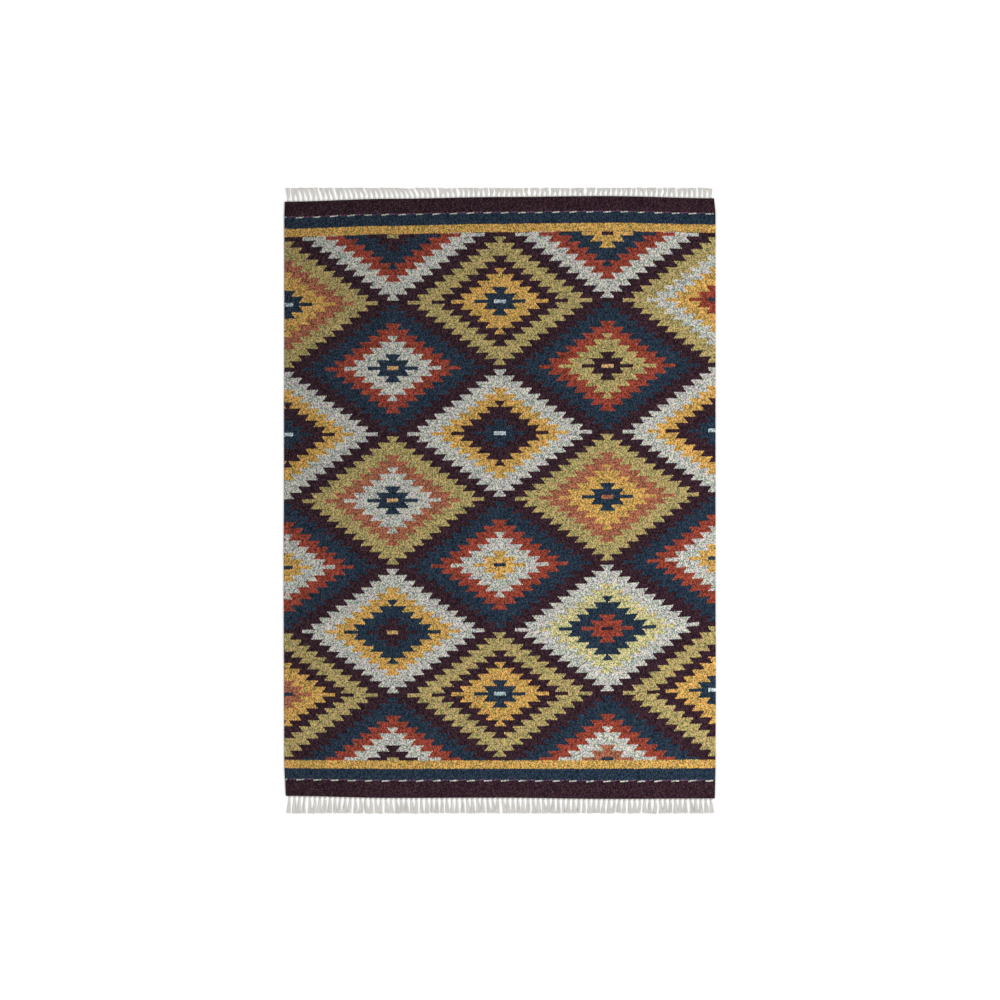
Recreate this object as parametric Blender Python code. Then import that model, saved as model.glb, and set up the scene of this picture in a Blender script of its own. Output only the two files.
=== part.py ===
"""A flat-woven kilim rug with knotted warp ends, lying flat on the floor.

The rug lies in the XY plane with its underside at z = 0. X runs across the loom, Y along it, and the origin is
the middle of the whole rug, fringes included. The woven field is one flat piece of cloth. The warp ends that stand
out of it at each end are one comb, whose teeth are the knotted tassels.
"""

from collections import namedtuple

import bpy

# Driving dimensions, in metres.
WIDTH = 1.600  # across the loom, selvedge to selvedge, at the widest place
LENGTH = 2.320  # tip to tip, both fringes included
CLOTH_THICKNESS = 0.004
FRINGE_THICKNESS = 0.003
JOIN_GAP = 0.0003  # between the woven edge and the comb of its fringe

# The fringe.
TASSELS = 84  # one for every six warps
BAND_DEPTH = 0.007  # from the woven edge to the middle of the knots
KNOT_WIDTH = 0.009
TIP_SHARE = 0.76  # how much of the distance to the next tassel a tip fills
TIP_STEPS = (0.0, -0.0012, -0.0004, -0.0018, -0.0008)  # the tips are trimmed by hand, never quite level

# How finely the woven outline follows its uneven edges.
EDGE_STEP = 0.05

# The ends of the cloth: where the far and the near edge lie at places across the rug, because the weave has crept
# along the warps, and how far the tassels there lean sideways from knot to tip.
EndSection = namedtuple("EndSection", "across far near far_lean near_lean")
ENDS = (
    EndSection(across=-0.80, far=1.107, near=-1.093, far_lean=-0.004, near_lean=-0.002),
    EndSection(across=-0.70, far=1.110, near=-1.096, far_lean=-0.013, near_lean=-0.006),
    EndSection(across=-0.40, far=1.118, near=-1.101, far_lean=-0.014, near_lean=0.002),
    EndSection(across=0.00, far=1.125, near=-1.100, far_lean=-0.003, near_lean=0.003),
    EndSection(across=0.40, far=1.128, near=-1.104, far_lean=0.000, near_lean=-0.004),
    EndSection(across=0.80, far=1.120, near=-1.103, far_lean=-0.002, near_lean=0.002),
)

# The sides of the cloth: the two selvedges draw in a little and out again along the rug.
SideSection = namedtuple("SideSection", "along left right")
SIDES = (
    SideSection(along=-1.11, left=-0.793, right=0.797),
    SideSection(along=-0.98, left=-0.798, right=0.799),
    SideSection(along=-0.70, left=-0.799, right=0.800),
    SideSection(along=-0.36, left=-0.800, right=0.799),
    SideSection(along=0.20, left=-0.799, right=0.799),
    SideSection(along=0.70, left=-0.798, right=0.799),
    SideSection(along=1.05, left=-0.798, right=0.799),
    SideSection(along=1.13, left=-0.797, right=0.794),
)


def clear_scene():
    for thing in list(bpy.data.objects):
        bpy.data.objects.remove(thing, do_unlink=True)


def between(sections, place, value, at):
    """The value at a place, eased from each section to the next so that it never passes either."""
    first, last = sections[0], sections[-1]
    at = min(max(at, getattr(first, place)), getattr(last, place))
    for low, high in zip(sections, sections[1:]):
        start, end = getattr(low, place), getattr(high, place)
        if at <= end:
            t = (at - start) / (end - start)
            ease = t * t * (3.0 - 2.0 * t)
            return getattr(low, value) * (1.0 - ease) + getattr(high, value) * ease
    return getattr(last, value)


def end_edge(end, across):
    """Y of the woven edge at the far or the near end."""
    return between(ENDS, "across", end, across)


def side_edge(side, along):
    """X of the left or the right selvedge."""
    return between(SIDES, "along", side, along)


def steps(start, end):
    """Places from start to end, both included, about EDGE_STEP apart."""
    count = max(2, round(abs(end - start) / EDGE_STEP))
    return [start + (end - start) * i / count for i in range(count + 1)]


def end_line(end, offset=0.0):
    """The woven edge at one end as points from the left selvedge to the right one, moved outwards by offset."""
    outward = 1.0 if end == "far" else -1.0
    corner_y = end_edge(end, -WIDTH / 2)
    left = side_edge("left", corner_y)
    right = side_edge("right", end_edge(end, WIDTH / 2))
    return [(x, end_edge(end, x) + outward * offset) for x in steps(left, right)]


def side_line(side, start, end):
    """One selvedge as points between two places along the rug, without the corners."""
    return [(side_edge(side, y), y) for y in steps(start, end)[1:-1]]


def field_outline():
    """The whole cloth's outline, clockwise from its far left corner."""
    far = end_line("far")
    near = end_line("near")[::-1]
    right = side_line("right", far[-1][1], near[0][1])
    left = side_line("left", near[-1][1], far[0][1])
    return far + right + near + left


def comb_outline(end):
    """A fringe's outline: a narrow band beside the woven edge, then one tooth for each tassel, from right to left."""
    outward = 1.0 if end == "far" else -1.0
    band = end_line(end, JOIN_GAP)
    left, right = band[0][0], band[-1][0]
    pitch = (right - left) / TASSELS
    roots = [left + pitch * (i + 0.5) for i in range(TASSELS)]
    tips = [x + between(ENDS, "across", end + "_lean", x) for x in roots]
    teeth = []
    for i, (root, tip) in enumerate(zip(roots, tips)):
        before = tips[i - 1] if i > 0 else tip - pitch
        after = tips[i + 1] if i + 1 < TASSELS else tip + pitch
        tip_half = min(tip - before, after - tip, pitch) * TIP_SHARE / 2
        knot_y = end_edge(end, root) + outward * (JOIN_GAP + BAND_DEPTH)
        tip_y = outward * (LENGTH / 2 + TIP_STEPS[i % len(TIP_STEPS)])
        teeth += [
            (root - KNOT_WIDTH / 2, knot_y),
            (tip - tip_half, tip_y),
            (tip + tip_half, tip_y),
            (root + KNOT_WIDTH / 2, knot_y),
        ]
    knot_left = (left, band[0][1] + outward * BAND_DEPTH)
    knot_right = (right, band[-1][1] + outward * BAND_DEPTH)
    return band + [knot_right] + teeth[::-1] + [knot_left]


def make_material(name, colour, roughness):
    material = bpy.data.materials.new(name)
    material.use_nodes = True
    shader = material.node_tree.nodes["Principled BSDF"]
    shader.inputs["Base Color"].default_value = (*colour, 1.0)
    shader.inputs["Roughness"].default_value = roughness
    shader.inputs["Metallic"].default_value = 0.0
    return material


def flat_piece(name, outline, thickness, material, collection):
    """A filled outline of even thickness, standing on z = 0."""
    curve = bpy.data.curves.new(name, "CURVE")
    curve.dimensions = "2D"
    curve.fill_mode = "BOTH"
    curve.extrude = thickness / 2
    spline = curve.splines.new("POLY")
    spline.points.add(len(outline) - 1)
    for point, (x, y) in zip(spline.points, outline):
        point.co = (x, y, 0.0, 1.0)
    spline.use_cyclic_u = True
    curve.materials.append(material)
    piece = bpy.data.objects.new(name, curve)
    piece.location.z = thickness / 2
    collection.objects.link(piece)
    return piece


def build():
    clear_scene()
    rug = bpy.data.collections.new("kilim_rug")
    bpy.context.scene.collection.children.link(rug)
    wool = make_material("dyed_wool", colour=(0.31, 0.13, 0.09), roughness=0.92)
    flat_piece("rug_field", field_outline(), CLOTH_THICKNESS, wool, rug)
    for end in ("far", "near"):
        cotton = make_material("warp_cotton_" + end, colour=(0.78, 0.76, 0.71), roughness=0.90)
        flat_piece("fringe_" + end, comb_outline(end), FRINGE_THICKNESS, cotton, rug)


build()
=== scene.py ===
"""A flat-woven kilim rug: its dyed wool cloth and knotted cotton fringes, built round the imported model."""

from collections import namedtuple
from math import pi

import bmesh
import bpy
import numpy as np
from bpy.props import FloatProperty, FloatVectorProperty, IntProperty, PointerProperty
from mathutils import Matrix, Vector


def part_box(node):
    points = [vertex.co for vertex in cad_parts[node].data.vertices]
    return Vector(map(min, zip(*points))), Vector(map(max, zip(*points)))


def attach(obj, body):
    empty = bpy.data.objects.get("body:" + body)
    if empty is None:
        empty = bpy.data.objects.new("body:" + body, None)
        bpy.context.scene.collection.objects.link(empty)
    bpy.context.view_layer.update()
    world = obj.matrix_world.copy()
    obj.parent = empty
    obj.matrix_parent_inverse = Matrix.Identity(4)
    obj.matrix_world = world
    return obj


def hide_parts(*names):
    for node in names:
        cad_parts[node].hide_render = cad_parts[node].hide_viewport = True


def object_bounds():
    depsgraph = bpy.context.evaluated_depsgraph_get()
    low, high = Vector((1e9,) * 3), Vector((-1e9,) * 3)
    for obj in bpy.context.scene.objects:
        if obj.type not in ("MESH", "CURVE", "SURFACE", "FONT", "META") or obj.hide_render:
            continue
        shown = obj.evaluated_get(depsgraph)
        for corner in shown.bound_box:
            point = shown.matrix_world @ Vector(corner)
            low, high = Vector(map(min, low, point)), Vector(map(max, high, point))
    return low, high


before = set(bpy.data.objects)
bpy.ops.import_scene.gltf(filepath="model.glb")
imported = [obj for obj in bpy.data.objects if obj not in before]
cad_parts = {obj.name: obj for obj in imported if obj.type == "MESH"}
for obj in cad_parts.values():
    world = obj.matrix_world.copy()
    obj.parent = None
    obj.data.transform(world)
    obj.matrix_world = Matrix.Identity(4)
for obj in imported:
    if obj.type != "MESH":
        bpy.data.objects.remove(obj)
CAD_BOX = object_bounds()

bl_info = {
    "name": "Kilim rug",
    "version": (1, 0, 0),
    "blender": (4, 5, 0),
    "location": "3D View > Sidebar > Kilim",
    "description": "Weaves a toothed-diamond kilim, knots its fringes and sets it on a plain floor",
    "category": "Add Mesh",
}

MM = 0.001
BODY = "root"
FIELD = "rug_field"
FRINGES = {"far": "fringe_far", "near": "fringe_near"}
OUTWARD = {"far": 1.0, "near": -1.0}
BAKE_MAP = "OFBake"  # every face laid out once, for baking
WEAVE_MAP = "weave"  # across in warps, along in picks, both from the middle of the cloth
YARN_MAP = "yarn"  # the strand's number plus the turn round it, and the metres along it

FIELD_LOW, FIELD_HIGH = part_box(FIELD)
CLOTH_WIDTH = FIELD_HIGH.x - FIELD_LOW.x
CLOTH_THICKNESS = FIELD_HIGH.z - FIELD_LOW.z

# The set-out of the weave, counted in warps and picks from the middle of the cloth.
WARPS = 504
PICK = 1.8926 * MM
REPEAT_WARPS = 126  # from a diamond's centre to the next column of centres
REPEAT_PICKS = 128  # from a diamond's centre to the next row of centres
BAR_PICKS = 8  # the plain bar through each diamond's middle
TOOTH_PICKS = 12
TOOTH_STEP = 10  # warps by which each row of teeth is shorter than the last
TOOTH_SLANT = 5.5  # warps by which a tooth widens away from the middle
RING_EDGES = (7, 30, 57, 80, 108)  # warps from the centre to the outside of the bar and of each ring
FIELD_TOP = 516  # picks from the middle to where the pattern ends
FIELD_BOTTOM = -514
CLOTH_TOP = 584.2
CLOTH_BOTTOM = -585.9
STRIPE_OCHRE = 16  # outer edge of the ochre stripe, in picks beyond the pattern
TWINING = 38.3  # middle of the twined line, where indigo gives way to aubergine
STITCH = 20.0  # warps from one dash of the twined line to the next
DASH = 9.0  # warps that a dash covers
NEAR_STRIPES = 0.96  # the near end was beaten a little less tightly
SIDE_DRIFT = 2.45  # warps by which the diamonds crowd in towards the middle at the selvedges
MIDDLE_DRIFT = 1.0  # warps by which they sit to the right there
LIGHT_GRADIENT_ACROSS = 0.00080  # painted light: how much lighter each warp's colour is painted than the one on its left, for light that grows towards the right
LIGHT_GRADIENT_ALONG = 0.00025  # and each pick than the one beyond it, for light that also grows towards the near end
COTTON_HEATHER = 0.16  # how much one cotton cord differs from the next
PLY_PITCH = 5.0 * MM  # length of one turn of a cord's plies

# Where the picks lie: how far, in millimetres, the weave has crept towards the far end, at five lines across.
Creep = namedtuple("Creep", "pick left mid_left middle mid_right right")
CREEP = (
    Creep(pick=-586, left=16.0, mid_left=8.5, middle=9.5, mid_right=5.0, right=6.5),
    Creep(pick=-512, left=12.0, mid_left=10.5, middle=11.0, mid_right=12.0, right=14.0),
    Creep(pick=-384, left=9.5, mid_left=5.0, middle=11.0, mid_right=13.0, right=26.0),
    Creep(pick=-256, left=0.0, mid_left=-4.0, middle=5.0, mid_right=11.0, right=28.0),
    Creep(pick=-128, left=-5.0, mid_left=-2.0, middle=4.5, mid_right=13.0, right=30.0),
    Creep(pick=0, left=-2.0, mid_left=1.0, middle=7.0, mid_right=15.0, right=24.0),
    Creep(pick=128, left=3.0, mid_left=4.5, middle=8.5, mid_right=14.0, right=18.0),
    Creep(pick=256, left=1.5, mid_left=7.0, middle=11.0, mid_right=16.0, right=19.0),
    Creep(pick=384, left=0.0, mid_left=7.0, middle=13.0, mid_right=18.0, right=20.0),
    Creep(pick=512, left=0.0, mid_left=11.5, middle=19.0, mid_right=23.0, right=17.0),
    Creep(pick=584, left=1.5, mid_left=12.5, middle=19.0, mid_right=22.5, right=14.0),
)

# How far, in millimetres, each selvedge is drawn in from the widest place.
DrawnIn = namedtuple("DrawnIn", "pick left right")
DRAWN_IN = (
    DrawnIn(pick=-586, left=7.0, right=3.0),
    DrawnIn(pick=-518, left=2.0, right=1.0),
    DrawnIn(pick=-370, left=1.0, right=0.0),
    DrawnIn(pick=-190, left=0.0, right=1.0),
    DrawnIn(pick=106, left=1.0, right=1.0),
    DrawnIn(pick=370, left=2.0, right=1.0),
    DrawnIn(pick=555, left=2.0, right=1.0),
    DrawnIn(pick=584, left=3.0, right=6.0),
)

# The yarns of every diamond, from its bar outwards. Row 0 is the farthest row of its kind.
Motif = namedtuple("Motif", "kind row column bar heart inner outer rim")
MOTIFS = (
    Motif("inset", 0, "left", "olive", "aubergine", "indigo", "madder", "pale_blue"),
    Motif("inset", 0, "right", "aubergine", "ochre", "indigo", "madder", "pale_blue"),
    Motif("inset", 1, "left", "straw", "indigo", "pale_blue", "madder", "indigo"),
    Motif("inset", 1, "right", "straw", "aubergine", "olive", "madder", "indigo"),
    Motif("inset", 2, "left", "straw", "indigo", "pale_blue", "terracotta", "olive"),
    Motif("inset", 2, "right", "terracotta", "indigo", "ochre", "terracotta", "olive"),
    Motif("inset", 3, "left", "straw", "aubergine", "indigo", "ochre", "pale_blue"),
    Motif("inset", 3, "right", "aubergine", "madder", "indigo", "lichen", "pale_blue"),
    Motif("inset", 4, "left", "olive", "aubergine", "pale_blue", "madder", "indigo"),
    Motif("inset", 4, "right", "indigo", "terracotta", "pale_blue", "madder", "indigo"),
    Motif("middle", 0, "left", "ice_blue", "indigo", "ochre", "terracotta", "olive"),
    Motif("middle", 0, "middle", "ice_blue", "indigo", "ochre", "aubergine", "olive"),
    Motif("middle", 0, "right", "indigo", "madder", "ochre", "pale_blue", "olive"),
    Motif("middle", 1, "left", "ice_blue", "indigo", "aubergine", "ochre", "pale_blue"),
    Motif("middle", 1, "middle", "ice_blue", "indigo", "aubergine", "ochre", "pale_blue"),
    Motif("middle", 1, "right", "ice_blue", "indigo", "aubergine", "ochre", "pale_blue"),
    Motif("middle", 2, "left", "indigo", "ochre", "pale_blue", "madder", "indigo"),
    Motif("middle", 2, "middle", "indigo", "ochre", "pale_blue", "madder", "indigo"),
    Motif("middle", 2, "right", "indigo", "ochre", "pale_blue", "madder", "indigo"),
    Motif("middle", 3, "left", "indigo", "terracotta", "ochre", "aubergine", "olive"),
    Motif("middle", 3, "middle", "ice_blue", "indigo", "ochre", "aubergine", "olive"),
    Motif("middle", 3, "right", "ice_blue", "indigo", "ochre", "aubergine", "olive"),
)
INSET_MOTIFS = 10  # how many of them are of the inset kind, which come first

# How far the tassels lean sideways from knot to tip, in millimetres, at places across the rug.
Lean = namedtuple("Lean", "across far near")
LEANS = (
    Lean(across=-0.80, far=-3.0, near=-3.0),
    Lean(across=-0.70, far=-13.0, near=-6.0),
    Lean(across=-0.40, far=-14.0, near=2.0),
    Lean(across=0.00, far=-3.0, near=3.0),
    Lean(across=0.40, far=0.0, near=-4.0),
    Lean(across=0.80, far=-2.0, near=2.0),
)


def linear(red, green, blue):
    """A colour given in the 0 to 255 of a paint chart, as linear light."""
    parts = (c / 255 for c in (red, green, blue))
    return tuple(c / 12.92 if c <= 0.04045 else ((c + 0.055) / 1.055) ** 2.4 for c in parts)


def dye(name, red, green, blue):
    """A yarn colour as a property, given in the 0 to 255 of a paint chart."""
    return FloatVectorProperty(
        name=name,
        description=f"Colour of the {name.lower()} yarn",
        subtype="COLOR",
        size=3,
        min=0.0,
        max=1.0,
        default=linear(red, green, blue),
    )


def length(name, description, default, **limits):
    return FloatProperty(name=name, description=description, default=default, unit="LENGTH", **limits)


def number(name, description, default, **limits):
    return FloatProperty(name=name, description=description, default=default, **limits)


class KilimYarns(bpy.types.PropertyGroup):
    """The dyed wools and the cotton warp"""

    aubergine: dye("Aubergine", 44, 24, 33)
    indigo: dye("Indigo", 28, 43, 58)
    madder: dye("Madder red", 128, 56, 42)
    terracotta: dye("Terracotta", 141, 88, 65)
    ochre: dye("Ochre", 177, 142, 76)
    straw: dye("Straw", 180, 147, 100)
    olive: dye("Olive", 151, 138, 89)
    lichen: dye("Lichen", 171, 167, 121)
    pale_blue: dye("Pale blue", 165, 168, 160)
    ice_blue: dye("Ice blue", 160, 176, 180)
    mauve: dye("Mauve", 96, 66, 92)
    cotton: dye("Cotton", 216, 214, 208)


class KilimWeave(bpy.types.PropertyGroup):
    """How the cloth is woven and lies"""

    rib_height: length("Rib height", "How far each covered warp stands out of the cloth", 0.40 * MM)
    bead_relief: length("Bead relief", "Depth of the small dips between the beads of weft", 0.55 * MM)
    selvedge: length("Selvedge", "How much thicker the cloth is at its side edges", 0.9 * MM)
    lift: length("Lift", "How high the cloth's gentle waves stand off the floor", 1.6 * MM)
    ripple: number("Ripple", "How far a line of weft wanders, in picks", 1.1)
    heather: number("Heather", "How much one bead of yarn differs from the next", 1.35)
    abrash: number("Abrash", "How much the dye changes from one stretch of weft to the next", 0.5)


class KilimFringe(bpy.types.PropertyGroup):
    """How the warp ends are knotted and lie"""

    tassels: IntProperty(name="Tassels", description="Knotted tassels along each end", default=84, min=2)
    strands: IntProperty(name="Strands", description="Cords in one tassel", default=12, min=2)
    strand: length("Strand", "Thickness of one cord", 1.9 * MM)
    knot: length("Knot", "Width of a knot", 8.0 * MM)
    band: length("Band", "From the woven edge to the middle of the knots", 7.0 * MM)
    fan: length("Fan", "How wide a tassel spreads at its tip", 16.0 * MM)


class KilimStage(bpy.types.PropertyGroup):
    """The floor, the light and the camera"""

    floor: length("Floor", "Side of the square floor", 80.0)
    view: length("View", "How much of the floor the picture shows from side to side", 3.702)
    lens: number("Lens", "Focal length of the camera, in millimetres", 85.0)
    key: number("Key", "Strength of the large soft light", 1.35)
    sky: number("Sky", "Strength of the even light from all round", 0.78)


# ---------------------------------------------------------------- shapes


def eased(places, values, at):
    """Values at places along a line, eased by 3t^2 - 2t^3 from each place to the next. values may have
    several rows, and then so has the result, as its first axis."""
    values = np.atleast_2d(values)
    i = np.clip(np.searchsorted(places, at, side="right") - 1, 0, len(places) - 2)
    t = np.clip((at - places[i]) / (places[i + 1] - places[i]), 0.0, 1.0)
    t = t * t * (3.0 - 2.0 * t)
    return values[:, i] * (1.0 - t) + values[:, i + 1] * t


def table(rows, *columns):
    """The named columns of a table, each as an array."""
    return [np.array([getattr(row, column) for row in rows], float) for column in columns]


def creep(u, v):
    """How far a point of the weave has crept along the rug: eased along each of five lines of the table, then
    eased across from line to line."""
    pick, *lines = table(CREEP, *Creep._fields)
    at_pick = eased(pick * PICK, np.array(lines), v)
    across = np.linspace(-0.5, 0.5, len(lines)) * CLOTH_WIDTH
    i = np.clip(np.searchsorted(across, u, side="right") - 1, 0, len(lines) - 2)
    t = np.clip((u - across[i]) / (across[i + 1] - across[i]), 0.0, 1.0)
    t = t * t * (3.0 - 2.0 * t)
    low = np.take_along_axis(at_pick, i[None], 0)[0]
    high = np.take_along_axis(at_pick, i[None] + 1, 0)[0]
    return (low * (1.0 - t) + high * t) * MM


def on_floor(u, v):
    """Where a point of the weave lies: x in proportion between the selvedges, y its own plus the creep."""
    pick, left, right = table(DRAWN_IN, *DrawnIn._fields)
    left = eased(pick * PICK, left, v)[0] * MM
    right = eased(pick * PICK, right, v)[0] * MM
    share = u / CLOTH_WIDTH + 0.5
    x = -CLOTH_WIDTH / 2 + left + (CLOTH_WIDTH - left - right) * share
    return x, v + creep(u, v)


def waves(u, v, height):
    """Gentle waves in the lying cloth: two products of slow sines, added and raised to stay at or above 0."""
    broad = np.sin(2 * pi * (u / 1.13 + v / 2.9) + 0.6) * np.sin(2 * pi * (v / 0.93 - u / 3.1) + 1.9)
    narrow = np.sin(2 * pi * (v / 0.41 + u / 1.7) + 0.3) * np.sin(2 * pi * u / 0.77 + 2.2)
    return height * (1.0 + 0.65 * broad + 0.35 * narrow) / 2


def make_object(name, vertices, faces, maps, material, smooth=True):
    """A mesh object at the origin. faces is an array of quads, and maps gives each UV map's coordinates for
    every corner of every face."""
    mesh = bpy.data.meshes.new(name)
    faces = np.asarray(faces, np.int32)
    corners = faces.size
    mesh.vertices.add(len(vertices))
    mesh.vertices.foreach_set("co", np.ascontiguousarray(vertices, np.float32).ravel())
    mesh.loops.add(corners)
    mesh.loops.foreach_set("vertex_index", faces.ravel())
    mesh.polygons.add(len(faces))
    mesh.polygons.foreach_set("loop_start", np.arange(0, corners, faces.shape[1], dtype=np.int32))
    mesh.polygons.foreach_set("use_smooth", np.full(len(faces), smooth))
    for map_name, uv in maps.items():
        layer = mesh.uv_layers.new(name=map_name)
        layer.uv.foreach_set("vector", np.ascontiguousarray(uv, np.float32).ravel())
    mesh.update(calc_edges=True)
    mesh.validate()
    mesh.materials.append(material)
    made = bpy.data.objects.new(name, mesh)
    bpy.context.scene.collection.objects.link(made)
    return made


def grid_quads(index):
    """The quads of a grid of vertex numbers, whose first axis runs to the right and the second upwards."""
    return np.stack([index[:-1, :-1], index[1:, :-1], index[1:, 1:], index[:-1, 1:]], -1).reshape(-1, 4)


def round_the_edge(grid):
    """The values on a grid's border, anticlockwise from its first corner, without a repeat."""
    return np.concatenate([grid[:-1, 0], grid[-1, :-1], grid[:0:-1, -1], grid[0, :0:-1]])


def cloth_mesh(weave, material):
    """The whole cloth as one closed sheet. Its face is a grid over the weave with two columns to a warp, so
    that every warp stands out as a rib, and 44 rows along the rug. The back is the same grid, and a half-round
    rim joins the two."""
    columns, rows, rim_steps = 2 * WARPS + 1, 44, 3
    u = np.linspace(-0.5, 0.5, columns)[:, None] * CLOTH_WIDTH * np.ones(rows)
    v = np.linspace(CLOTH_BOTTOM, CLOTH_TOP, rows)[None, :] * PICK * np.ones((columns, 1))
    half = CLOTH_THICKNESS / 2
    inset_u = u * (1.0 - 2 * half / CLOTH_WIDTH)
    inset_v = v * (1.0 - 2 * half / (v.max() - v.min()))
    x, y = on_floor(inset_u, inset_v)
    crest = (np.arange(columns) % 2)[:, None] * np.ones(rows)
    edge = np.exp(-(((CLOTH_WIDTH / 2 - np.abs(u)) / (5 * MM)) ** 2))
    lift = waves(u, v, weave.lift)
    face_z = CLOTH_THICKNESS - weave.rib_height + crest * weave.rib_height
    face_z = face_z + edge * weave.selvedge + lift
    back_z = (1.0 - crest) * weave.rib_height * 0.5 + lift
    face = np.stack([x, y, face_z], -1)
    back = np.stack([x, y, back_z], -1)

    border = round_the_edge(np.arange(columns * rows).reshape(columns, rows))
    outward = np.zeros((columns, rows, 3))
    outward[0, :, 0], outward[-1, :, 0] = -1.0, 1.0
    outward[:, 0, 1], outward[:, -1, 1] = -1.0, 1.0
    outward = outward.reshape(-1, 3)[border]
    outward /= np.linalg.norm(outward, axis=1, keepdims=True)
    top, bottom = face.reshape(-1, 3)[border], back.reshape(-1, 3)[border]
    middle, reach = (top + bottom) / 2, (top - bottom) / 2
    turns = np.linspace(0.0, pi, rim_steps + 1)[1:-1]
    rings = [middle + reach * np.cos(a) + outward * half * np.sin(a) for a in turns]

    count = columns * rows
    face_index = np.arange(count).reshape(columns, rows)
    ring_index = [2 * count + i * len(border) + np.arange(len(border)) for i in range(len(rings))]
    levels = [border, *ring_index, border + count]
    rim = []
    for high, low in zip(levels, levels[1:]):
        rim.append(np.stack([high, low, np.roll(low, -1), np.roll(high, -1)], -1))
    face_quads = grid_quads(face_index)
    back_quads = grid_quads(face_index)[:, ::-1] + count
    faces = np.concatenate([face_quads, back_quads, *rim])
    vertices = np.concatenate([face.reshape(-1, 3), back.reshape(-1, 3), *rings])

    within = 1.0 - 1e-5
    weave_uv = np.stack([u / CLOTH_WIDTH * WARPS * within, v / PICK * within], -1).reshape(-1, 2)
    weave_uv = np.concatenate([weave_uv, weave_uv, *[weave_uv[border]] * len(rings)])[faces.ravel()]
    margin = 0.004
    share = np.stack([u / CLOTH_WIDTH + 0.5, (v - v.min()) / (v.max() - v.min())], -1).reshape(-1, 2)
    laid = np.array([margin, margin]) + share * np.array([0.5 - 2 * margin, 1.0 - 2 * margin])
    bake = [laid[face_quads.ravel()], laid[back_quads.ravel() - count] + np.array([0.5, 0.0])]
    strip = margin / (2 * rim_steps)
    around = [laid[border] + outward[:, :2] * strip * level for level in range(rim_steps + 1)]
    for high, low in zip(around, around[1:]):
        bake.append(np.stack([high, low, np.roll(low, -1, 0), np.roll(high, -1, 0)], 1).reshape(-1, 2))
    maps = {WEAVE_MAP: weave_uv, BAKE_MAP: np.concatenate(bake)}
    return make_object("woven_cloth", vertices, faces, maps, material)


def tubes(paths, radii, sides):
    """Open tubes along many paths at once: paths is (tubes, rings, 3) and radii (tubes, rings). Each ring is
    a regular polygon square to its path. Also gives the length along each path at every ring."""
    count, rings = paths.shape[:2]
    along = np.gradient(paths, axis=1)
    along /= np.linalg.norm(along, axis=-1, keepdims=True)
    aside = np.cross(along, [0.0, 0.0, 1.0])
    aside /= np.linalg.norm(aside, axis=-1, keepdims=True)
    upward = np.cross(aside, along)
    turn = np.linspace(0.0, 2 * pi, sides, endpoint=False)
    around = aside[:, :, None] * np.cos(turn)[:, None] + upward[:, :, None] * np.sin(turn)[:, None]
    points = paths[:, :, None] + around * radii[:, :, None, None]
    index = np.arange(count * rings * sides).reshape(count, rings, sides)
    after = np.roll(index, -1, 2)
    quads = np.stack([index[:, :-1], index[:, 1:], after[:, 1:], after[:, :-1]], -1)
    measure = np.linalg.norm(np.diff(paths, axis=1), axis=-1).cumsum(1)
    measure = np.concatenate([np.zeros((count, 1)), measure], 1)
    return points, quads, measure


def strand_map(measure, sides, first):
    """UV for each corner of a tube's quads: the strand's number plus the share of a turn, and the metres
    along it."""
    count, rings = measure.shape
    number = (first + np.arange(count))[:, None, None] + np.zeros((1, rings - 1, sides))
    start = number + np.arange(sides) / sides
    end = number + (np.arange(sides) + 0.999) / sides
    low = np.broadcast_to(measure[:, :-1, None], start.shape)
    high = np.broadcast_to(measure[:, 1:, None], start.shape)
    corners = [(start, low), (start, high), (end, high), (end, low)]
    return np.stack([np.stack(corner, -1) for corner in corners], -2)


def tile_map(tiles, rings, sides, first, total):
    """UV for baking: each tube has its own tile of a square sheet, its rings up it and its sides across."""
    across = int(np.ceil(np.sqrt(total)))
    tile = first + np.arange(tiles)
    corner = np.stack([tile % across, tile // across], -1) / across
    inside = 0.04
    scale = (1.0 - 2 * inside) / across
    i, k = np.meshgrid(np.arange(rings - 1), np.arange(sides), indexing="ij")
    local = [
        np.stack([(k + right) / sides, (i + up) / (rings - 1)], -1)
        for right, up in ((0, 0), (0, 1), (1, 1), (1, 0))
    ]
    local = np.stack(local, -2)
    return corner[:, None, None, None] + inside / across + local[None] * scale


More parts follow.
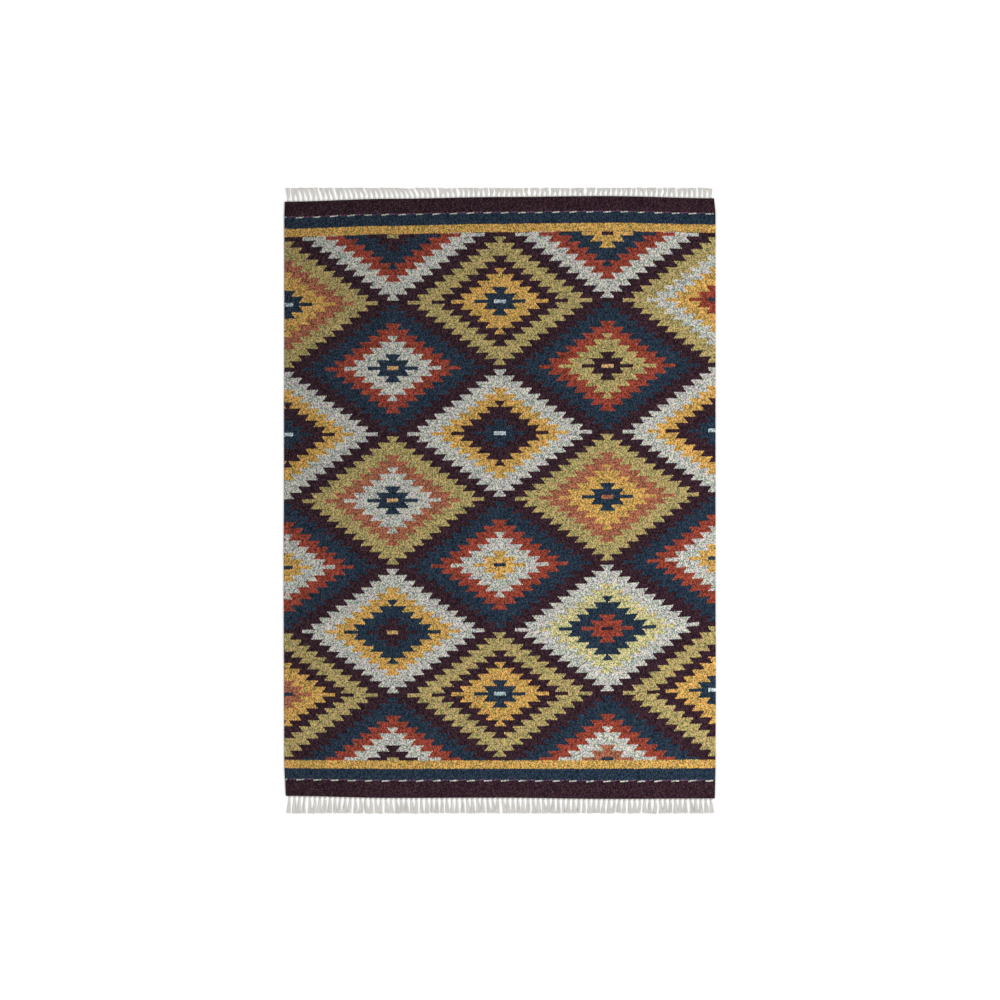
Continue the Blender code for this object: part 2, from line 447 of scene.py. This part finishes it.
def tassel_mesh(end, fringe, material, seed):
    """One fringe as one mesh. From the woven edge six warps run to each knot, and past it their cords fan
    out: a cord's sideways place is the tassel's lean times t^1.3, plus its own share of the fan times t^0.8,
    plus a small curl, where t runs from 0 at the knot to 1 at the tip. A knot is a bulb with two lobes that
    turn round it."""
    chance = np.random.default_rng(seed)
    out = OUTWARD[end]
    low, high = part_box(FRINGES[end])
    tassels, strands = fringe.tassels, fringe.strands
    pitch = CLOTH_WIDTH * 0.993 / tassels
    root = (np.arange(tassels) - (tassels - 1) / 2) * pitch
    end_v = (CLOTH_TOP if end == "far" else CLOTH_BOTTOM) * PICK
    x, edge = on_floor(root, np.full(tassels, end_v))
    tip_y = (high.y if end == "far" else -low.y) - 1.5 * MM
    across, far, near = table(LEANS, *Lean._fields)
    lean = eased(across, far if end == "far" else near, root)[0] * MM
    lean = lean + chance.normal(0.0, 2.0 * MM, tassels)
    lean = np.clip(x + lean, -CLOTH_WIDTH / 2 + 8 * MM, CLOTH_WIDTH / 2 - 8 * MM) - x

    t = np.array([-1.0, -0.5, 0.0, 0.14, 0.3, 0.46, 0.62, 0.78, 0.9, 1.0])
    rings = len(t)
    before = t <= 0
    share = (np.arange(strands) + 0.5) / strands * 2 - 1
    spread = share + chance.normal(0.0, 0.09, (tassels, strands))
    fan = fringe.fan * chance.uniform(0.82, 1.12, tassels)[:, None]
    after_t = np.clip(t, 0.0, 1.0)
    curl_phase = chance.uniform(0, 2 * pi, (tassels, 1))
    curl = np.sin(4.2 * after_t + curl_phase) - np.sin(curl_phase)
    curl = curl * chance.normal(0.0, 1.1 * MM, (tassels, 1))
    stray = chance.normal(0.0, 0.7 * MM, (tassels, strands))
    sx = x[:, None, None] + np.zeros((tassels, strands, rings))
    from_edge = share[None, :, None] * pitch * 0.45 * np.clip(-t, 0.0, 1.0)
    in_knot = share[None, :, None] * fringe.knot * 0.22
    sx = sx + from_edge + in_knot
    sx = sx + (lean[:, None] * after_t**1.3 + curl)[:, None, :]
    sx = sx + (spread * fan / 2)[..., None] * after_t**0.8 * 0.9
    sx = sx + stray[..., None] * np.sin(3.4 * after_t) ** 2

    reach = tip_y - (out * edge + fringe.band)
    cut = chance.uniform(-2.2 * MM, 0.8 * MM, (tassels, strands)) + chance.normal(0.0, 0.8 * MM, (tassels, 1))
    run = np.where(before, fringe.band * t, 0.0)[None, None, :]
    run = run + (reach[:, None] + cut)[..., None] * after_t
    run = np.where(t == -1.0, -fringe.band - 2 * MM, run)
    sy = out * ((out * edge + fringe.band)[:, None, None] + run)
    thick = fringe.strand / 2
    layer = (np.arange(strands) % 3)[None, :, None]
    stacked = 0.55 * thick * layer * (1.0 - 0.5 * after_t)
    hump = 1.2 * MM * np.exp(-((t / 0.25) ** 2))
    raised = chance.uniform(0, 0.5 * MM, (tassels, strands))[..., None] * after_t
    floor_z = thick * 1.02 + stacked + hump + raised
    sz = np.broadcast_to(floor_z, sx.shape)
    paths = np.stack([sx, sy, sz], -1).reshape(-1, rings, 3)
    profile = np.array([0.85, 0.8, 0.9, 0.95, 1.0, 1.0, 1.0, 1.05, 1.0, 0.35])
    radii = thick * profile * chance.uniform(0.88, 1.1, (tassels * strands, 1))
    sides = 6
    points, quads, measure = tubes(paths, radii, sides)

    knot_rings, knot_sides = 9, 14
    s = np.linspace(-1.0, 1.0, knot_rings)
    turn = np.linspace(0, 2 * pi, knot_sides, endpoint=False)
    phase = chance.uniform(0, pi, tassels)[:, None, None]
    bulge = np.sqrt(np.clip(1.0 - s**2 * 0.985, 0.0, 1.0))[None, :, None]
    lobes = 1.0 + 0.17 * np.cos(2 * turn[None, None, :] + 2.6 * s[None, :, None] + phase)
    size = (fringe.knot / 2 * chance.uniform(0.88, 1.08, tassels))[:, None, None]
    round_x = x[:, None, None] + size * bulge * lobes * np.cos(turn)
    round_y = (edge + out * fringe.band)[:, None, None] - s[None, :, None] * size * 0.82 * np.ones(knot_sides)
    round_z = size * 0.72 + size * 0.70 * bulge * lobes * np.sin(turn)
    knots = np.stack([round_x, round_y, np.clip(round_z, 0.2 * MM, None)], -1)
    index = np.arange(knots.size // 3).reshape(tassels, knot_rings, knot_sides)
    after = np.roll(index, -1, 2)
    knot_quads = np.stack([index[:, :-1], index[:, 1:], after[:, 1:], after[:, :-1]], -1)
    knot_measure = (s * fringe.knot / 2)[None] * np.ones((tassels, 1)) + fringe.knot

    total = len(paths) + tassels
    vertices = np.concatenate([points.reshape(-1, 3), knots.reshape(-1, 3)])
    shift = points.size // 3
    faces = [quads.reshape(-1, 4), knot_quads.reshape(-1, 4) + shift]
    yarn = [strand_map(measure, sides, 0), strand_map(knot_measure, knot_sides, len(paths))]
    bake = [
        tile_map(len(paths), rings, sides, 0, total),
        tile_map(tassels, knot_rings, knot_sides, len(paths), total),
    ]
    maps = {
        YARN_MAP: np.concatenate([m.reshape(-1, 2) for m in yarn]),
        BAKE_MAP: np.concatenate([m.reshape(-1, 2) for m in bake]),
    }
    return make_object("tassels_" + end, vertices, np.concatenate(faces), maps, material)


def close_ends(piece):
    """Closes the open ends of every tube and knot in a mesh with flat caps, and turns all faces outwards."""
    shape = bmesh.new()
    shape.from_mesh(piece.data)
    open_edges = [edge for edge in shape.edges if edge.is_boundary]
    bmesh.ops.holes_fill(shape, edges=open_edges, sides=0)
    bmesh.ops.recalc_face_normals(shape, faces=shape.faces)
    shape.to_mesh(piece.data)
    shape.free()


# ---------------------------------------------------------------- materials


class Graph:
    """Adds nodes to one tree. A socket given for an input is linked to it, and anything else is set on it."""

    def __init__(self, tree):
        self.tree = tree

    def feed(self, socket, value):
        if isinstance(value, bpy.types.NodeSocket):
            self.tree.links.new(value, socket)
        else:
            socket.default_value = value

    def add(self, kind, inputs=None, **settings):
        node = self.tree.nodes.new("ShaderNode" + kind)
        for name, value in settings.items():
            setattr(node, name, value)
        for key, value in (inputs or {}).items():
            self.feed(node.inputs[key], value)
        return node

    def math(self, operation, a, b=0.0, c=0.0):
        return self.add("Math", {0: a, 1: b, 2: c}, operation=operation).outputs[0]

    def mix(self, factor, a, b, blend="MIX"):
        made = self.add("Mix", data_type="RGBA", blend_type=blend)
        for socket, value in ((0, factor), (6, a), (7, b)):
            self.feed(made.inputs[socket], value)
        return made.outputs[2]

    def vector(self, x, y, z=0.0):
        return self.add("CombineXYZ", {0: x, 1: y, 2: z}).outputs[0]

    def spread(self, value, low, high):
        """A value from 0 to 1, stretched to run from low to high."""
        return self.math("MULTIPLY_ADD", value, high - low, low)

    def noise(self, vector, detail=2.0, scale=1.0):
        return self.add("TexNoise", {"Vector": vector, "Scale": scale, "Detail": detail}).outputs["Fac"]

    def group(self, tree, **inputs):
        made = self.add("Group", node_tree=tree)
        for name, value in inputs.items():
            self.feed(made.inputs[name.replace("_", " ")], value)
        return made.outputs


def new_group(name, takes, gives):
    """An empty node group. takes and gives map the names of its sockets to Float, Vector or Color."""
    tree = bpy.data.node_groups.new(name, "ShaderNodeTree")
    for direction, sockets in (("INPUT", takes), ("OUTPUT", gives)):
        for socket, kind in sockets.items():
            tree.interface.new_socket(name=socket, in_out=direction, socket_type="NodeSocket" + kind)
    start = tree.nodes.new("NodeGroupInput").outputs
    end = tree.nodes.new("NodeGroupOutput").inputs
    return tree, Graph(tree), start, end


def bead_group():
    """Which bead of weft a point is on. Beads are one warp wide and two picks high, and those of neighbouring
    warps are one pick apart, as plain weave lays them."""
    tree, g, take, give = new_group(
        "Weft beads",
        {"Warp": "Float", "Pick": "Float"},
        {
            "Bead Warp": "Float",
            "Bead Pick": "Float",
            "Across": "Float",
            "Along": "Float",
            "Chance": "Float",
            "Tint": "Color",
        },
    )
    column = g.math("FLOOR", take["Warp"])
    odd = g.math("FLOORED_MODULO", column, 2.0)
    half = g.math("MULTIPLY", g.math("ADD", take["Pick"], odd), 0.5)
    bead = g.math("FLOOR", half)
    random = g.add("TexWhiteNoise", {"Vector": g.vector(column, bead)}, noise_dimensions="2D").outputs
    g.feed(give["Bead Warp"], g.math("ADD", column, 0.5))
    g.feed(give["Bead Pick"], g.math("SUBTRACT", g.math("MULTIPLY_ADD", bead, 2.0, 1.0), odd))
    g.feed(give["Across"], g.math("FRACT", take["Warp"]))
    g.feed(give["Along"], g.math("FRACT", half))
    g.feed(give["Chance"], random["Value"])
    g.feed(give["Tint"], random["Color"])
    return tree


def diamond_group():
    """How many warps a point is from the centre of a toothed diamond. Each row of teeth away from the bar
    counts as one step more, and within a row a tooth widens away from the centre."""
    tree, g, take, give = new_group(
        "Toothed diamond",
        {"Across": "Float", "Along": "Float"},
        {"Distance": "Float"},
    )
    past_bar = g.math("DIVIDE", g.math("SUBTRACT", take["Along"], BAR_PICKS / 2), TOOTH_PICKS)
    row = g.math("ADD", g.math("FLOOR", past_bar), 1.0)
    slant = g.math("MULTIPLY_ADD", g.math("FRACT", past_bar), -TOOTH_SLANT, TOOTH_SLANT)
    slant = g.math("MULTIPLY", slant, g.math("MINIMUM", row, 1.0))
    g.feed(give["Distance"], g.math("ADD", take["Across"], g.math("MULTIPLY_ADD", row, TOOTH_STEP, slant)))
    return tree


def pattern_group(yarns):
    """The yarn at a bead: the nearer of two interlocking lattices of diamonds gives the ring, the chart of
    motifs gives the ring's yarn, and stripes and a twined line cross each end."""
    tree, g, take, give = new_group(
        "Kilim pattern",
        {"Bead Warp": "Float", "Bead Pick": "Float", "Warp": "Float", "Pick": "Float"},
        {"Color": "Color", "Turn": "Float"},
    )
    warp, pick = take["Bead Warp"], take["Bead Pick"]
    diamond = diamond_group()
    inset = g.group(
        diamond,
        Across=g.math("PINGPONG", g.math("ADD", warp, REPEAT_WARPS), REPEAT_WARPS),
        Along=g.math("PINGPONG", pick, REPEAT_PICKS),
    )["Distance"]
    middle = g.group(
        diamond,
        Across=g.math("PINGPONG", warp, REPEAT_WARPS),
        Along=g.math("PINGPONG", g.math("ADD", pick, REPEAT_PICKS), REPEAT_PICKS),
    )["Distance"]
    distance = g.math("MINIMUM", inset, middle)
    is_middle = g.math("LESS_THAN", middle, inset)

    height = g.math("DIVIDE", pick, 2 * REPEAT_PICKS)
    inset_row = g.math("SUBTRACT", 2.0, g.math("ROUND", height))
    inset_number = g.math("MULTIPLY_ADD", inset_row, 2.0, g.math("GREATER_THAN", warp, 0.0))
    middle_row = g.math("SUBTRACT", 1.0, g.math("FLOOR", height))
    column = g.math("ROUND", g.math("DIVIDE", warp, 2 * REPEAT_WARPS))
    middle_number = g.math("MULTIPLY_ADD", middle_row, 3.0, g.math("ADD", column, INSET_MOTIFS + 1))
    chosen = g.math("SUBTRACT", middle_number, inset_number)
    motif = g.math("MULTIPLY_ADD", chosen, is_middle, inset_number)
    along_chart = g.math("DIVIDE", g.math("ADD", motif, 0.5), len(MOTIFS))

    colour = None
    turn = 100.0
    rings = ("bar", "heart", "inner", "outer", "rim")
    for ring, edge in zip(rings, (0, *RING_EDGES)):
        chart = g.add("ValToRGB", {"Fac": along_chart})
        ramp = chart.color_ramp
        ramp.interpolation = "CONSTANT"
        ramp.elements.remove(ramp.elements[1])
        for i, motif_row in enumerate(MOTIFS):
            stop = ramp.elements[0] if i == 0 else ramp.elements.new(i / len(MOTIFS))
            stop.color = (*getattr(yarns, getattr(motif_row, ring)), 1.0)
        yarn = chart.outputs["Color"]
        colour = yarn if colour is None else g.mix(g.math("GREATER_THAN", distance, edge), colour, yarn)
    colour = g.mix(g.math("GREATER_THAN", distance, RING_EDGES[-1]), colour, (*yarns.aubergine, 1.0))
    for edge in RING_EDGES:
        turn = g.math("MINIMUM", turn, g.math("ABSOLUTE", g.math("SUBTRACT", distance, edge)))

    def beyond(at):
        """Picks past the pattern's end, at either end of the cloth."""
        far = g.math("SUBTRACT", at, FIELD_TOP)
        near = g.math("MULTIPLY", g.math("SUBTRACT", FIELD_BOTTOM, at), NEAR_STRIPES)
        return g.math("MAXIMUM", far, near)

    past = beyond(pick)
    for edge, yarn in ((0.0, yarns.ochre), (STRIPE_OCHRE, yarns.indigo), (TWINING, yarns.aubergine)):
        colour = g.mix(g.math("GREATER_THAN", past, edge), colour, (*yarn, 1.0))
    side = g.math("SIGN", take["Pick"])
    stitch = g.math("FLOORED_MODULO", g.math("ADD", take["Warp"], -1.0), STITCH)
    tilt = g.math("MULTIPLY", g.math("MULTIPLY_ADD", stitch, 0.13, -0.6), side)
    off = g.math("ABSOLUTE", g.math("SUBTRACT", g.math("SUBTRACT", beyond(take["Pick"]), TWINING), tilt))
    light = g.math("MULTIPLY", g.math("LESS_THAN", stitch, DASH), g.math("LESS_THAN", off, 1.25))
    dull = g.math("MULTIPLY", g.math("GREATER_THAN", stitch, DASH), g.math("LESS_THAN", off, 0.8))
    colour = g.mix(dull, colour, (*yarns.mauve, 1.0))
    colour = g.mix(light, colour, (*yarns.pale_blue, 1.0))
    outside = g.math("GREATER_THAN", past, 0.0)
    g.feed(give["Color"], colour)
    g.feed(give["Turn"], g.math("MULTIPLY_ADD", outside, 10.0, turn))
    return tree


def heather_group():
    """Yarn that is never one flat colour: each bead or strand is lighter or darker and a little warmer or
    cooler by chance, pale flecks show in dark yarn as stray hairs and painted glints on the fuzz, and the
    Slow input scales it with slow changes of the dye along it together with painted shade and light."""
    tree, g, take, give = new_group(
        "Heathered yarn",
        {"Color": "Color", "Chance": "Float", "Tint": "Color", "Slow": "Float", "Amount": "Float"},
        {"Color": "Color"},
    )
    level = g.math("MULTIPLY_ADD", g.math("SUBTRACT", take["Chance"], 0.5), take["Amount"], 1.0)
    level = g.math("MAXIMUM", g.math("MULTIPLY", level, take["Slow"]), 0.05)
    grey = g.add("CombineColor", {0: level, 1: level, 2: level}).outputs[0]
    colour = g.mix(1.0, take["Color"], grey, "MULTIPLY")
    tint = g.mix(g.math("MULTIPLY", take["Amount"], 0.16), (0.5, 0.5, 0.5, 1.0), take["Tint"])
    tint = g.mix(1.0, tint, (2.0, 2.0, 2.0, 1.0), "MULTIPLY")
    colour = g.mix(1.0, colour, tint, "MULTIPLY")
    # pale flecks in dark yarn: stray pale hairs together with painted glints of light on the fuzz
    hair_and_glint = g.math("POWER", take["Chance"], 4.0)
    colour = g.mix(g.math("MULTIPLY", hair_and_glint, 0.035), colour, (0.62, 0.60, 0.58, 1.0))
    g.feed(give["Color"], colour)
    return tree


def fibre_group():
    """Fine fibres on a yarn's surface, from 0 to 1, for a position in millimetres."""
    tree, g, take, give = new_group("Yarn fibres", {"Vector": "Vector"}, {"Height": "Float"})
    g.feed(give["Height"], g.noise(take["Vector"], detail=3.0, scale=2.2))
    return tree


def yarn_shader(g, colour, height, depth, roughness, sheen):
    """The Principled shader of a yarn, with its relief."""
    bump = g.add("Bump", {"Strength": 1.0, "Distance": depth, "Height": height}).outputs["Normal"]
    shader = g.add("BsdfPrincipled", {"Base Color": colour, "Normal": bump})
    for socket, value in (
        ("Roughness", roughness),
        ("Metallic", 0.0),
        ("Specular IOR Level", 0.08),
        ("Sheen Weight", sheen),
        ("Sheen Roughness", 0.5),
    ):
        shader.inputs[socket].default_value = value
    output = g.add("OutputMaterial")
    g.tree.links.new(shader.outputs["BSDF"], output.inputs["Surface"])


def new_material(name):
    material = bpy.data.materials.new(name)
    material.use_nodes = True
    material.node_tree.nodes.clear()
    return material, Graph(material.node_tree)


def wool_material(weave, groups):
    """The dyed wool of the cloth, which reads the weave map."""
    material, g = new_material("dyed_wool")
    place = g.add("SeparateXYZ", {0: g.add("UVMap", uv_map=WEAVE_MAP).outputs["UV"]}).outputs
    warp, pick = place[0], place[1]
    slow_wander = g.noise(g.vector(g.math("MULTIPLY", warp, 0.045), g.math("MULTIPLY", pick, 0.02)))
    quick_wander = g.noise(g.vector(g.math("MULTIPLY", warp, 0.16), g.math("MULTIPLY", pick, 0.09), 7.0))
    wander = g.math("ADD", slow_wander, g.math("MULTIPLY", quick_wander, 0.6))
    pick = g.math("ADD", pick, g.math("MULTIPLY_ADD", wander, 2 * weave.ripple, -1.6 * weave.ripple))

    bead = g.group(groups["beads"], Warp=warp, Pick=pick)
    share = g.math("DIVIDE", bead["Bead Warp"], WARPS / 2)
    squared = g.math("MULTIPLY", share, share)
    drift = g.math("MULTIPLY", squared, g.math("MULTIPLY_ADD", share, SIDE_DRIFT, -MIDDLE_DRIFT))
    pattern = g.group(
        groups["pattern"],
        Bead_Warp=g.math("ADD", bead["Bead Warp"], drift),
        Bead_Pick=bead["Bead Pick"],
        Warp=warp,
        Pick=pick,
    )
    streak = g.noise(
        g.vector(g.math("MULTIPLY", warp, 0.03), g.math("MULTIPLY", bead["Bead Pick"], 0.31), 3.0)
    )
    blotch = g.noise(g.vector(g.math("MULTIPLY", warp, 0.06), g.math("MULTIPLY", pick, 0.035), 11.0))
    slub = g.noise(g.vector(g.math("MULTIPLY", warp, 0.8), g.math("MULTIPLY", pick, 0.5), 5.0), detail=1.0)
    slow = g.math("MULTIPLY_ADD", g.math("ADD", streak, g.math("MULTIPLY", blotch, 0.5)), weave.abrash, 0.0)
    slow = g.math("ADD", slow, 1.0 - 0.75 * weave.abrash)
    slow = g.math("MULTIPLY", slow, g.spread(slub, 0.55, 1.45))

    across, along = (
        g.math("MULTIPLY", g.math("MULTIPLY", bead[way], g.math("SUBTRACT", 1.0, bead[way])), 4.0)
        for way in ("Across", "Along")
    )
    round_bead = g.math("MULTIPLY", g.math("SQRT", across), g.spread(g.math("SQRT", along), 0.5, 1.0))
    # painted shade and highlight: each bead's colour is painted down to 0.72 at its sides, where it meets its
    # neighbours, and up to 1.12 on its crown; the same shape also gives the bump height
    slow = g.math("MULTIPLY", slow, g.spread(round_bead, 0.72, 1.12))
    # painted light: the colour is painted lighter towards the right and towards the near end, as the light
    # falls across the rug
    painted_light_gradient = g.math("MULTIPLY_ADD", warp, LIGHT_GRADIENT_ACROSS, g.math("MULTIPLY_ADD", pick, -LIGHT_GRADIENT_ALONG, 1.0))
    slow = g.math("MULTIPLY", slow, painted_light_gradient)
    # painted highlight: beads within about a warp of a ring's edge, where the weft turns, are painted 10%
    # lighter
    turn = g.math("LESS_THAN", pattern["Turn"], 1.1)
    slow = g.math("MULTIPLY", slow, g.math("MULTIPLY_ADD", turn, 0.10, 1.0))
    colour = g.group(
        groups["heather"],
        Color=pattern["Color"],
        Chance=bead["Chance"],
        Tint=bead["Tint"],
        Slow=slow,
        Amount=weave.heather,
    )["Color"]
    fibres = g.group(
        groups["fibres"],
        Vector=g.vector(g.math("MULTIPLY", warp, 3.2), g.math("MULTIPLY", pick, 1.9)),
    )
    height = g.math("MULTIPLY_ADD", fibres["Height"], 0.35, round_bead)
    yarn_shader(g, colour, height, weave.bead_relief, roughness=0.95, sheen=0.02)
    return material


def cotton_material(yarns, groups):
    """The undyed cotton of the warp ends, which reads the yarn map: two plies turn round each cord."""
    material, g = new_material("warp_cotton")
    place = g.add("SeparateXYZ", {0: g.add("UVMap", uv_map=YARN_MAP).outputs["UV"]}).outputs
    strand = g.math("FLOOR", place[0])
    metres = place[1]
    turns = g.math("MULTIPLY_ADD", metres, 1 / PLY_PITCH, g.math("MULTIPLY", place[0], 2.0))
    ply = g.math("ABSOLUTE", g.math("SINE", g.math("MULTIPLY", turns, pi)))
    random = g.add("TexWhiteNoise", {"W": strand}, noise_dimensions="1D").outputs
    slow = g.noise(g.vector(strand, g.math("MULTIPLY", metres, 60.0)))
    # painted shade and highlight: the cord's colour is painted down to 0.82 in the grooves between its plies
    # and up to 1.06 on their crowns
    slow = g.math("MULTIPLY", g.spread(slow, 0.86, 1.14), g.spread(ply, 0.82, 1.06))
    colour = g.group(
        groups["heather"],
        Color=(*yarns.cotton, 1.0),
        Chance=random["Value"],
        Tint=random["Color"],
        Slow=slow,
        Amount=COTTON_HEATHER,
    )["Color"]
    fibres = g.group(
        groups["fibres"],
        Vector=g.vector(g.math("MULTIPLY", place[0], 6.0), g.math("MULTIPLY", metres, 1 / MM)),
    )
    height = g.math("MULTIPLY_ADD", fibres["Height"], 0.4, ply)
    yarn_shader(g, colour, height, 0.3 * MM, roughness=0.85, sheen=0.15)
    return material


def floor_material():
    """A plain pale floor, very slightly mottled."""
    material, g = new_material("pale_floor")
    place = g.add("TexCoord").outputs["Object"]
    level = g.spread(g.noise(place, scale=0.8), 0.95, 0.96)
    colour = g.add("CombineColor", {0: level, 1: level, 2: level}).outputs[0]
    shader = g.add("BsdfPrincipled", {"Base Color": colour, "Roughness": 0.95, "Specular IOR Level": 0.1})
    output = g.add("OutputMaterial")
    g.tree.links.new(shader.outputs["BSDF"], output.inputs["Surface"])
    return material


SHARED = {}


def shared(kind, build):
    """A node group that is made once and then found again."""
    made = SHARED.get(kind)
    if made is None:
        made = SHARED[kind] = build()
    return made


def yarn_groups(yarns):
    """The node groups that the wool and the cotton share."""
    return {
        "beads": shared("beads", bead_group),
        "pattern": shared("pattern", lambda: pattern_group(yarns)),
        "heather": shared("heather", heather_group),
        "fibres": shared("fibres", fibre_group),
    }


# ---------------------------------------------------------------- operators


class KILIM_OT_weave_cloth(bpy.types.Operator):
    """Weave the dyed wool cloth in place of its plain solid"""

    bl_idname = "kilim.weave_cloth"
    bl_label = "Weave the cloth"

    def execute(self, context):
        settings = context.scene
        groups = yarn_groups(settings.kilim_yarns)
        material = wool_material(settings.kilim_weave, groups)
        cloth = cloth_mesh(settings.kilim_weave, material)
        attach(cloth, BODY)
        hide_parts(FIELD)
        return {"FINISHED"}


class KILIM_OT_knot_fringes(bpy.types.Operator):
    """Knot the warp ends into tassels along both ends of the cloth"""

    bl_idname = "kilim.knot_fringes"
    bl_label = "Knot the fringes"

    def execute(self, context):
        settings = context.scene
        cloth = bpy.data.objects.get("woven_cloth")
        if cloth is None:
            raise RuntimeError("weave the cloth before its fringes are knotted")
        groups = yarn_groups(settings.kilim_yarns)
        cotton = cotton_material(settings.kilim_yarns, groups)
        for seed, end in enumerate(FRINGES):
            fringe = tassel_mesh(end, settings.kilim_fringe, cotton, seed + 11)
            close_ends(fringe)
            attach(fringe, BODY)
            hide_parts(FRINGES[end])
        return {"FINISHED"}


class KILIM_OT_set_stage(bpy.types.Operator):
    """Set the rug on a plain pale floor under soft light, seen from straight above"""

    bl_idname = "kilim.set_stage"
    bl_label = "Set the stage"

    def execute(self, context):
        stage = context.scene.kilim_stage
        side = stage.floor / 2
        corners = np.array([(-side, -side, 0), (side, -side, 0), (side, side, 0), (-side, side, 0)], float)
        corners[:, 2] = CAD_BOX[0][2] - 0.3 * MM
        floor = make_object("floor", corners, [[0, 1, 2, 3]], {}, floor_material(), smooth=False)

        camera = bpy.data.objects.new("camera", bpy.data.cameras.new("camera"))
        camera.data.lens = stage.lens
        camera.data.clip_end = 200.0
        height = stage.view * stage.lens / camera.data.sensor_width
        camera.location = (0.0007, 0.0028, height + CLOTH_THICKNESS)
        context.scene.collection.objects.link(camera)
        context.scene.camera = camera

        key = bpy.data.lights.new("soft_key", "SUN")
        key.angle = pi / 7
        key.energy = stage.key
        lamp = bpy.data.objects.new("soft_key", key)
        lamp.location = (3.4, -2.2, 4.4)
        aim = Vector((0.0, 0.0, 0.0)) - lamp.location
        lamp.rotation_euler = aim.to_track_quat("-Z", "Y").to_euler()
        context.scene.collection.objects.link(lamp)

        world = bpy.data.worlds.new("even_light")
        world.use_nodes = True
        sky = world.node_tree.nodes["Background"]
        sky.inputs["Color"].default_value = (1.0, 1.0, 1.0, 1.0)
        sky.inputs["Strength"].default_value = stage.sky
        context.scene.world = world
        context.scene.view_settings.view_transform = "Standard"
        return {"FINISHED"}


class VIEW3D_PT_kilim(bpy.types.Panel):
    """Everything that the kilim is made with"""

    bl_label = "Kilim rug"
    bl_space_type = "VIEW_3D"
    bl_region_type = "UI"
    bl_category = "Kilim"

    def draw(self, context):
        scene = context.scene
        for group, operator in (
            ("kilim_yarns", None),
            ("kilim_weave", KILIM_OT_weave_cloth),
            ("kilim_fringe", KILIM_OT_knot_fringes),
            ("kilim_stage", KILIM_OT_set_stage),
        ):
            box = self.layout.box()
            settings = getattr(scene, group)
            for name in settings.__annotations__:
                box.prop(settings, name)
            if operator is not None:
                box.operator(operator.bl_idname)


SETTINGS = {
    "kilim_yarns": KilimYarns,
    "kilim_weave": KilimWeave,
    "kilim_fringe": KilimFringe,
    "kilim_stage": KilimStage,
}
OPERATORS = (KILIM_OT_set_stage, KILIM_OT_weave_cloth, KILIM_OT_knot_fringes)


def register():
    for name, group in SETTINGS.items():
        bpy.utils.register_class(group)
        setattr(bpy.types.Scene, name, PointerProperty(type=group))
    for part in (*OPERATORS, VIEW3D_PT_kilim):
        bpy.utils.register_class(part)


def unregister():
    for part in (VIEW3D_PT_kilim, *OPERATORS):
        bpy.utils.unregister_class(part)
    for name, group in SETTINGS.items():
        delattr(bpy.types.Scene, name)
        bpy.utils.unregister_class(group)


def main():
    register()
    bpy.ops.kilim.set_stage()
    bpy.ops.kilim.weave_cloth()
    bpy.ops.kilim.knot_fringes()


if __name__ == "__main__":
    main()
